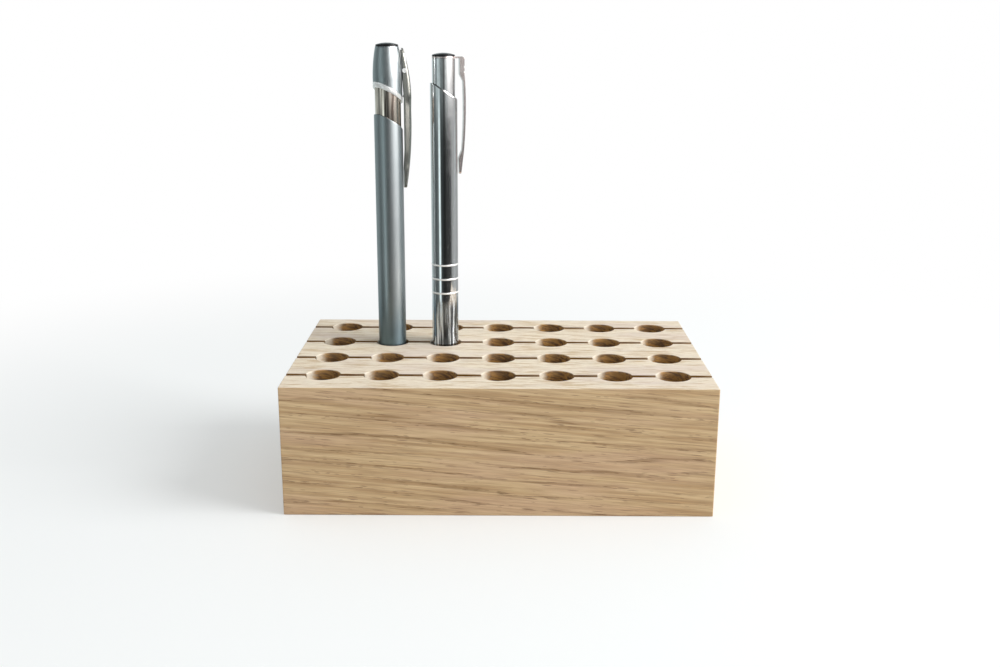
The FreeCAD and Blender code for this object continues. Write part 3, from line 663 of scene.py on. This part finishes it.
class PENSTAND_PG_stage(bpy.types.PropertyGroup):
    lens: FloatProperty(
        name="Lens", description="Focal length on a 36 mm sensor, in millimetres", default=40.167)
    camera_place: FloatVectorProperty(
        name="Camera Place", description="Where the camera stands", subtype="TRANSLATION", unit="LENGTH",
        default=(-0.00043, -0.4058, 0.1636))
    camera_pitch: angle_setting("Pitch", "How far the camera looks down", 15.18)
    camera_yaw: angle_setting("Yaw", "How far the camera looks to the right", 0.1026)
    camera_roll: angle_setting("Roll", "How far the camera tips", 0.3103)
    key_power: FloatProperty(
        name="Key Light", description="Power of the lamp on the right", unit="POWER", default=17.0)
    fill_level: FloatProperty(
        name="Fill Light", description="Brightness of the room's plain light", default=0.66)
    window_level: FloatProperty(
        name="Window", description="Brightness of the window that the metal reflects", default=8.0)
    floor_glow: FloatProperty(
        name="Floor Glow", description="How much the floor is lifted towards white", default=0.24)
    floor_colour: colour_setting("Floor", "Colour of the floor", (0.89, 0.905, 0.905))


# ---- Operators ----
class PENSTAND_OT_stand(bpy.types.Operator):
    """Give the stand its oak"""

    bl_idname = "penstand.stand"
    bl_label = "Oak Stand"

    def execute(self, context):
        clothe(frame["nodes"]["stand_block"].data, oak(context.scene.pen_stand_wood))
        return {"FINISHED"}


class PENSTAND_OT_grey_barrel(bpy.types.Operator):
    """Turn the grey pen's barrel and plated collar"""

    bl_idname = "penstand.grey_barrel"
    bl_label = "Grey Barrel"

    def execute(self, context):
        pen = context.scene.pen_stand_grey_pen
        finish = finishes(context.scene)
        place = pen_place(pen)
        high = pen.barrel_top + OVERHANG
        barrel = lathe([
            (pen.bore_radius, pen.barrel_bottom), (pen.barrel_radius, pen.barrel_bottom),
            (pen.barrel_radius, high), (pen.bore_radius, high)])
        rim = slice_end(barrel, pen.barrel_top, pen.slope, pen.slope_turn)
        round_off(barrel, rim, BARREL_EDGE)
        new_piece("grey_barrel", barrel, "grey_pen", ["grey_pen_barrel"], finish["paint"],
                  place=place)
        inside = pen.collar_radius - pen.collar_wall
        collar = lathe([
            (inside, pen.collar_bottom), (pen.collar_radius, pen.collar_bottom),
            (pen.collar_radius, pen.collar_top), (inside, pen.collar_top)])
        new_piece("grey_collar", collar, "grey_pen", ["grey_pen_collar"], finish["collar"],
                  place=place)
        return {"FINISHED"}


class PENSTAND_OT_grey_cap(bpy.types.Operator):
    """Turn the grey pen's cap, its trim ring and its black plug"""

    bl_idname = "penstand.grey_cap"
    bl_label = "Grey Cap"

    def execute(self, context):
        pen = context.scene.pen_stand_grey_pen
        finish = finishes(context.scene)
        place = pen_place(pen)
        low = pen.ring_bottom - OVERHANG
        shoulder = arc(
            (pen.cap_radius, pen.cap_shoulder), (pen.cap_bow_radius, pen.cap_bow),
            (pen.cap_top_radius, pen.cap_top), 14)
        cap = lathe([(pen.bore_radius, low), (pen.cap_radius, low), *shoulder,
                     (pen.cap_rim_bore, pen.cap_top), (pen.cap_rim_bore, pen.cap_bore_top),
                     (pen.bore_radius, pen.cap_bore_top)])
        round_off(cap, rims_at(cap, pen.cap_top, pen.cap_top_radius), CAP_EDGE)
        slice_end(cap, pen.ring_top, pen.slope, pen.slope_turn, keep_above=True)
        new_piece("grey_cap", cap, "grey_pen_cap", ["grey_pen_cap"], finish["paint"],
                  place=place)

        ring = lathe([(pen.bore_radius, low), (pen.ring_radius, low),
                      (pen.ring_radius, pen.cap_top), (pen.bore_radius, pen.cap_top)])
        slice_end(ring, pen.ring_top, pen.slope, pen.slope_turn)
        slice_end(ring, pen.ring_bottom, pen.slope, pen.slope_turn, keep_above=True)
        rims = [edge for edge in ring.edges if edge.calc_face_angle(0.0) > RING_EDGE_ANGLE
                and min(vert.co.xy.length for vert in edge.verts) > pen.ring_radius - 0.01]
        round_off(ring, rims, RING_EDGE)
        band = [face for face in ring.faces if abs(face.normal.z) < 0.01
                and face.calc_center_median().xy.length > pen.ring_radius - 0.05]
        for thickness, depth in ((GROOVE_MARGIN, 0.0), (GROOVE_SIDE, -GROOVE_DEPTH)):
            bmesh.ops.inset_region(
                ring, faces=band, thickness=thickness, depth=depth, use_even_offset=True, use_boundary=True)
        new_piece("grey_ring", ring, "grey_pen_cap", ["grey_pen_trim_ring"], finish["ring"],
                  place=place)
        make_plug("grey_plug", pen, pen.plug_radius, pen.cap_rim_bore, pen.cap_bore_top, pen.cap_top,
                  "grey_pen_cap", "grey_pen_top_plug", finish["black"])
        return {"FINISHED"}


def make_plug(name, pen, radius, stem_radius, stem_bottom, seat, body, node, material):
    """A domed disc on a stem."""
    stem = stem_radius - STEM_PLAY
    dome = arc((radius, seat + PLUG_RIM), (radius * 0.5, seat + PLUG_MIDWAY), (0.0, seat + PLUG_CROWN), 10)
    plug = lathe([(0.0, stem_bottom), (stem, stem_bottom), (stem, seat), (radius, seat), *dome])
    round_off(plug, rims_at(plug, seat + PLUG_RIM, radius), PLUG_RIM_EDGE)
    round_off(plug, rims_at(plug, seat, radius), PLUG_FOOT_EDGE, 2)
    new_piece(name, plug, body, [node], material, sharp=50.0, place=pen_place(pen))


class PENSTAND_OT_grey_clip(bpy.types.Operator):
    """Round the edges and the flanks of the grey pen's hinged clip"""

    bl_idname = "penstand.grey_clip"
    bl_label = "Grey Clip"

    def execute(self, context):
        pen = context.scene.pen_stand_grey_pen
        finish = finishes(context.scene)
        clip = merged_copy("grey_pen_clip")
        edges = [edge for edge in clip.edges if edge.calc_face_angle(0.0) > CLIP_EDGE_ANGLE]
        round_off(clip, edges, CLIP_EDGE * MM, 2)
        bmesh.ops.transform(clip, matrix=pen_place(pen).inverted(), verts=clip.verts)
        heights = cut_across(clip, Vector((0.0, 0.0, 1.0)), SLICE_HEIGHT)
        cut_across(clip, Vector((1.0, 0.0, 0.0)), SLICE_DEPTH)
        outlines = [side_outline(clip, height, pen.clip_flank) for height in heights]
        for vert in clip.verts:
            inner, outer = outline_at(outlines, vert.co.z)
            depth = clamped((vert.co.x - inner) / max(outer - inner, 0.1))
            vert.co.y *= 1.0 - flank_narrowing(pen, depth, vert.co.z)
            vert.co.x += flank_trim(pen, depth, vert.co.z)
        new_piece("grey_clip", clip, "grey_pen_clip", ["grey_pen_clip"], finish["clip"],
                  place=pen_place(pen))
        return {"FINISHED"}


def cut_across(bm, way, spacing):
    """Cuts a mesh into slices of this thickness along an axis. Gives where the cuts lie."""
    along = [vert.co.dot(way) for vert in bm.verts]
    low, high = min(along) + 0.02, max(along) - 0.02
    cuts = [low + spacing * step for step in range(int((high - low) / spacing) + 1)]
    for cut in cuts:
        cut_through(bm, way * cut, way)
    return cuts


def side_outline(bm, height, flank):
    """A height, with the least and the greatest reach of the flanks there."""
    reaches = [vert.co.x for vert in bm.verts if abs(vert.co.z - height) < MATCH and abs(vert.co.y) > flank]
    return height, min(reaches, default=0.0), max(reaches, default=0.0)


def outline_at(outlines, height):
    """The outline's reaches at any height, between the two nearest cuts."""
    for (low, *below), (high, *above) in zip(outlines, outlines[1:]):
        if low <= height <= high:
            share = (height - low) / (high - low)
            return [a + (b - a) * share for a, b in zip(below, above)]
    return outlines[0][1:] if height < outlines[0][0] else outlines[-1][1:]


def clamped(value):
    """The value, kept between 0 and 1."""
    return min(max(value, 0.0), 1.0)


def flank_narrowing(pen, depth, height):
    """How much narrower the clip gets at this share of the way from its open side to its back.

    There is a long slant between the leaf-shaped tip and the step, and a round corner all along the back.
    """
    below_step = clamped((pen.clip_step + 0.2 - height) / 1.8)
    past_leaf = height - pen.clip_leaf - 3.5 * abs(depth - 0.37)
    above_leaf = clamped(max(past_leaf / 1.2, (depth - 0.7) / 0.15))
    slant = SLANT * max(depth - SLANT_START, 0.0) / (1.0 - SLANT_START) * below_step * above_leaf
    corner = CORNER * (max(depth - CORNER_START, 0.0) / (1.0 - CORNER_START)) ** 2
    return slant + corner


def flank_trim(pen, depth, height):
    """How far the flanks' open edge steps back from the cap, most just above the step and none at the pin."""
    share = (pen.clip_pin - height) / (pen.clip_pin - pen.clip_step)
    if 0.0 < share < 0.95:
        return pen.clip_trim * share * max(1.0 - depth / 0.6, 0.0)
    return 0.0


class PENSTAND_OT_chrome_barrel(bpy.types.Operator):
    """Turn the chrome pen's barrel and its three beads"""

    bl_idname = "penstand.chrome_barrel"
    bl_label = "Chrome Barrel"

    def execute(self, context):
        pen = context.scene.pen_stand_chrome_pen
        finish = finishes(context.scene)
        place = pen_place(pen)
        high = pen.barrel_top + OVERHANG
        seat = pen.barrel_radius - pen.bead_depth
        half = pen.bead_height / 2.0
        heights = [pen.bead_lowest + index * pen.bead_pitch for index in range(BEADS)]
        outside = [(pen.bore_radius, pen.barrel_bottom), (pen.barrel_radius, pen.barrel_bottom)]
        for height in heights:
            outside += [(pen.barrel_radius, height - half), (seat, height - half),
                        (seat, height + half), (pen.barrel_radius, height + half)]
        barrel = lathe([*outside, (pen.barrel_radius, high), (pen.lip_bore, high),
                        (pen.lip_bore, pen.lip_bottom), (pen.bore_radius, pen.lip_bottom)])
        rim = slice_end(barrel, pen.barrel_top, pen.slope)
        round_off(barrel, rim, LIP_EDGE, 4)
        new_piece("chrome_barrel", barrel, "chrome_pen", ["chrome_pen_barrel"], finish["chrome"],
                  place=place)
        beads = bmesh.new()
        for height in heights:
            crown = arc((pen.barrel_radius, height - half), (pen.barrel_radius + pen.bead_projection, height),
                        (pen.barrel_radius, height + half), 6)
            bead = lathe([(seat, height - half), *crown, (seat, height + half)])
            loose = bpy.data.meshes.new("bead")
            bead.to_mesh(loose)
            bead.free()
            beads.from_mesh(loose)
            bpy.data.meshes.remove(loose)
        new_piece("chrome_beads", beads, "chrome_pen", ["chrome_pen_barrel_rings"], finish["bead"],
                  place=place)
        return {"FINISHED"}


class PENSTAND_OT_chrome_head(bpy.types.Operator):
    """Turn the chrome pen's sliding head and its black plug"""

    bl_idname = "penstand.chrome_head"
    bl_label = "Chrome Head"

    def execute(self, context):
        pen = context.scene.pen_stand_chrome_pen
        finish = finishes(context.scene)
        head = lathe([
            (pen.head_bore, pen.head_bottom), (pen.head_flange_radius, pen.head_bottom),
            (pen.head_flange_radius, pen.head_flange_top), (pen.head_radius, pen.head_flange_top),
            (pen.head_radius, pen.head_top), (pen.head_bore, pen.head_top)])
        round_off(head, rims_at(head, pen.head_top, pen.head_radius), HEAD_EDGE, 2)
        new_piece("chrome_head", head, "chrome_pen_head", ["chrome_pen_head"], finish["chrome"],
                  place=pen_place(pen))
        make_plug("chrome_plug", pen, pen.plug_radius, pen.head_bore, pen.clip_top - PLUG_STEM, pen.clip_top,
                  "chrome_pen_head", "chrome_pen_top_plug", finish["black"])
        return {"FINISHED"}


class PENSTAND_OT_chrome_clip(bpy.types.Operator):
    """Round the edges of the chrome pen's folded clip"""

    bl_idname = "penstand.chrome_clip"
    bl_label = "Chrome Clip"

    def execute(self, context):
        finish = finishes(context.scene)
        clip = merged_copy("chrome_pen_clip")
        edges = [edge for edge in clip.edges if edge.calc_face_angle(0.0) > CLIP_EDGE_ANGLE]
        round_off(clip, edges, STRIP_EDGE * MM, 2)
        new_piece("chrome_clip", clip, "chrome_pen_head", ["chrome_pen_clip"], finish["strip"])
        return {"FINISHED"}


class PENSTAND_OT_workings(bpy.types.Operator):
    """Give the parts inside both pens their finishes"""

    bl_idname = "penstand.workings"
    bl_label = "Workings"

    def execute(self, context):
        finish = finishes(context.scene)
        by_slot = {"grey_metal": "paint", "chrome": "chrome", "black_plastic": "black",
                   "white_plastic": "white", "steel": "steel", "brass": "brass"}
        for part in frame["record"]["subparts"]:
            if part["material_slot"] in by_slot:
                clothe(frame["nodes"][part["node"]].data, finish[by_slot[part["material_slot"]]])
        # The clip's pin takes the near-white bead finish, which paints its highlight.
        clothe(frame["nodes"]["grey_pen_clip_pin"].data, finish["bead"])
        make_return_spring("grey_pen", finish["steel"])
        make_return_spring("chrome_pen", finish["steel"])
        return {"FINISHED"}


def make_return_spring(pen, material):
    """The spring round the refill, as a merged copy of its CAD node with a mesh of its own."""
    node, joint = pen + "_return_spring", pen + "_refill_feed"
    low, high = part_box(node)
    joints = frame["record"]["behaviour"]["joints"]
    travel = next(each["range_m"][1] for each in joints if each["name"] == joint)
    spring = new_piece(pen + "_spring", merged_copy(node), pen, [node], material)
    1.0 - travel / (high.z - low.z)
    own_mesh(spring)


def finishes(scene):
    """The pens' materials by name, made once."""
    look = scene.pen_stand_finishes
    if not PEN_FINISHES:
        bead, shade = look.bead_and_highlight_colour, look.chrome_shade
        PEN_FINISHES.update({
            "paint": satin_paint(look),
            "chrome": polished("chrome_plate", look.chrome_colour, shade, 0.08, grip_top=look.grip_top),
            # The beads' near-white, partly diffuse colour is partly painted highlight.
            "bead": polished("bead_plate", bead, bead, 0.34, metallic=0.4),
            # The collar's warm tint and brown streaks are partly painted reflection.
            "collar": polished("collar_plate", look.collar_and_reflection_colour, look.collar_shade, 0.04, streaks=0.8),
            # The ring shares the near-white bead colour, partly as painted highlight.
            "ring": polished("ring_plate", bead, shade, 0.13, metallic=0.4),
            "clip": polished("clip_plate", look.clip_colour, look.clip_shade, 0.17, metallic=0.78),
            # The strip's pink tint is partly painted reflection of the oak.
            "strip": polished("strip_plate", look.strip_and_reflection_colour, look.strip_shade, 0.18, metallic=0.85),
            "black": moulded("gloss_black", look.plug_colour, (0.014, 0.014, 0.015), 0.16, gloss=0.3),
            "white": moulded("white_acetal", (0.75, 0.75, 0.72), (0.68, 0.68, 0.66), 0.4),
            "steel": polished("spring_steel", (0.5, 0.51, 0.52), (0.42, 0.43, 0.44), 0.22),
            "brass": polished("turned_brass", (0.72, 0.53, 0.24), (0.6, 0.42, 0.18), 0.2),
        })
    return PEN_FINISHES


class PENSTAND_OT_stage(bpy.types.Operator):
    """Set up the floor, the lights and the camera"""

    bl_idname = "penstand.stage"
    bl_label = "Stage"

    def execute(self, context):
        look = context.scene.pen_stand_stage
        make_floor(look)
        make_key_lamp(look.key_power)
        light_room(context.scene, look)
        make_camera(context.scene, look)
        context.scene.view_settings.view_transform = "Standard"
        return {"FINISHED"}


def make_floor(look):
    bm = bmesh.new()
    bmesh.ops.create_grid(bm, x_segments=2, y_segments=2, size=FLOOR_REACH)
    floor = new_object("floor", bm)
    material, graph = new_finish("pale_floor")
    here = graph.node("TexCoord", output="Object")
    distance = graph.node("VectorMath", {"operation": "LENGTH"}, {0: here}, output=1)
    matt = graph.node("BsdfDiffuse", None, {"Color": opaque(look.floor_colour)})
    white = graph.node("Emission", None, {"Color": (1.0, 1.0, 1.0, 1.0), "Strength": 1.0})
    seen = graph.node("LightPath", output="Is Camera Ray")
    lift = graph.rise(distance, FADE_START, FADE_END) * (1.0 - look.floor_glow) + look.floor_glow
    surface = graph.node("MixShader", None, {0: lift * seen, 1: matt, 2: white})
    graph.node("OutputMaterial", None, {"Surface": surface})
    floor.data.materials.append(material)
    floor.visible_glossy = False


def make_key_lamp(power):
    data = bpy.data.lights.new("key_lamp", "AREA")
    data.shape = "DISK"
    data.size = LAMP_SIZE
    data.energy = power
    lamp = bpy.data.objects.new("key_lamp", data)
    lamp.location = LAMP_PLACE
    lamp.rotation_mode = "QUATERNION"
    lamp.rotation_quaternion = (LAMP_TARGET - LAMP_PLACE).to_track_quat("-Z", "Y")
    bpy.context.scene.collection.objects.link(lamp)


def grey(level):
    """A nearly neutral light."""
    return (level * 0.97, level, level)


def cool(level):
    """A light with less red."""
    return (level * 0.87, level, level * 1.01)


def light_room(scene, look):
    """Plain light all round. Polished metal sees a studio: white behind, dark in front, a window right."""
    world = bpy.data.worlds.new("studio")
    scene.world = world
    world.use_nodes = True
    world.cycles.sampling_method = "NONE"
    graph = Graph(world.node_tree)
    way = graph.node("TexCoord", output="Generated")
    x, y, z = [graph.node("SeparateXYZ", None, {0: way}, output=axis) for axis in range(3)]
    turn = graph.node("Math", {"operation": "ARCTAN2"}, {0: x, 1: 0.0 - y}) / ROUND + 0.5
    table = graph.ramp(turn, [
        (0.07, cool(0.9)), (0.1, cool(0.65)), (0.22, cool(0.65)), (0.27, cool(0.12)), (0.36, cool(0.22)),
        (0.384, cool(1.3)), (0.404, cool(1.3)), (0.424, cool(0.1)), (0.5, grey(0.025)), (0.65, grey(0.08)),
        (0.7, grey(0.5)), (0.88, grey(0.65))])
    walls = graph.ramp(turn, [
        (0.07, cool(0.95)), (0.18, cool(0.6)), (0.28, cool(0.25)), (0.345, cool(1.1)), (0.4, cool(0.35)),
        (0.46, cool(0.36)), (0.51, grey(0.12)), (0.565, grey(1.0)), (0.68, grey(1.0)), (0.74, grey(0.28)),
        (0.86, grey(0.3)), (0.93, grey(0.95))])
    studio = graph.mix(graph.rise(z, -0.09, -0.03), table, walls)
    studio = graph.mix(graph.rise(z, 0.35, 0.55), studio, grey(0.12))
    clutter = graph.noise(graph.vector(turn * 55.0, z * 2.5, 0.0), detail=3.0, roughness=0.7)
    darkening = graph.ramp(clutter, [(0.36, (0.15, 0.15, 0.15)), (0.62, (1.0, 1.0, 1.0))])
    studio = graph.mix(0.6, studio, darkening, "MULTIPLY")
    across_window = graph.rise(turn, 0.56, 0.65) * graph.rise(turn, 0.82, 0.76)
    up_window = graph.rise(z, -0.08, 0.15) * graph.rise(z, 0.8, 0.6)
    level = look.window_level
    studio = graph.mix(across_window * up_window, studio, (level * 1.08, level, level * 0.98))
    glossy = graph.node("LightPath", output="Is Glossy Ray")
    camera = graph.node("LightPath", output="Is Camera Ray")
    colour = graph.mix(glossy, grey(look.fill_level), studio)
    colour = graph.mix(camera, colour, (1.0, 1.0, 1.0))
    surface = graph.node("Background", None, {"Color": colour, "Strength": 1.0})
    graph.node("OutputWorld", None, {"Surface": surface})


def make_camera(scene, look):
    data = bpy.data.cameras.new("camera")
    data.lens = look.lens
    data.sensor_width = 36.0
    data.clip_start = 0.01
    data.clip_end = 20.0
    camera = bpy.data.objects.new("camera", data)
    pitch, yaw, roll = look.camera_pitch, look.camera_yaw, look.camera_roll
    ahead = Vector((math.sin(yaw) * math.cos(pitch), math.cos(yaw) * math.cos(pitch), -math.sin(pitch)))
    level = ahead.cross(Vector((0.0, 0.0, 1.0))).normalized()
    upright = level.cross(ahead)
    right = level * math.cos(roll) + upright * math.sin(roll)
    up = upright * math.cos(roll) - level * math.sin(roll)
    turned = Matrix((right, up, -ahead)).transposed().to_4x4()
    camera.matrix_world = Matrix.Translation(look.camera_place) @ turned
    scene.collection.objects.link(camera)
    scene.camera = camera


def new_object(name, bm):
    mesh = bpy.data.meshes.new(name)
    bm.to_mesh(mesh)
    bm.free()
    made = bpy.data.objects.new(name, mesh)
    bpy.context.scene.collection.objects.link(made)
    return made


class PENSTAND_PT_panel(bpy.types.Panel):
    """Lists the pieces in the order they are made"""

    bl_idname = "PENSTAND_PT_panel"
    bl_label = "Pen Stand"
    bl_space_type = "VIEW_3D"
    bl_region_type = "UI"
    bl_category = "Pen Stand"

    def draw(self, context):
        for operator in OPERATORS:
            self.layout.operator(operator.bl_idname)


PEN_FINISHES = {}
OPERATORS = (
    PENSTAND_OT_stand, PENSTAND_OT_workings,
    PENSTAND_OT_grey_barrel, PENSTAND_OT_grey_cap, PENSTAND_OT_grey_clip,
    PENSTAND_OT_chrome_barrel, PENSTAND_OT_chrome_head, PENSTAND_OT_chrome_clip,
    PENSTAND_OT_stage)
SETTINGS = {
    "pen_stand_wood": PENSTAND_PG_wood,
    "pen_stand_grey_pen": PENSTAND_PG_grey_pen,
    "pen_stand_chrome_pen": PENSTAND_PG_chrome_pen,
    "pen_stand_finishes": PENSTAND_PG_finishes,
    "pen_stand_stage": PENSTAND_PG_stage,
}


def register():
    for group in (*SETTINGS.values(), *OPERATORS, PENSTAND_PT_panel):
        bpy.utils.register_class(group)
    for name, group in SETTINGS.items():
        setattr(bpy.types.Scene, name, PointerProperty(type=group))


def unregister():
    for name in SETTINGS:
        delattr(bpy.types.Scene, name)
    for group in (PENSTAND_PT_panel, *OPERATORS, *SETTINGS.values()):
        bpy.utils.unregister_class(group)


def main():
    register()
    bpy.ops.penstand.stand()
    bpy.ops.penstand.workings()
    bpy.ops.penstand.grey_barrel()
    bpy.ops.penstand.grey_cap()
    bpy.ops.penstand.grey_clip()
    bpy.ops.penstand.chrome_barrel()
    bpy.ops.penstand.chrome_head()
    bpy.ops.penstand.chrome_clip()
    bpy.ops.penstand.stage()


if __name__ == "__main__":
    main()
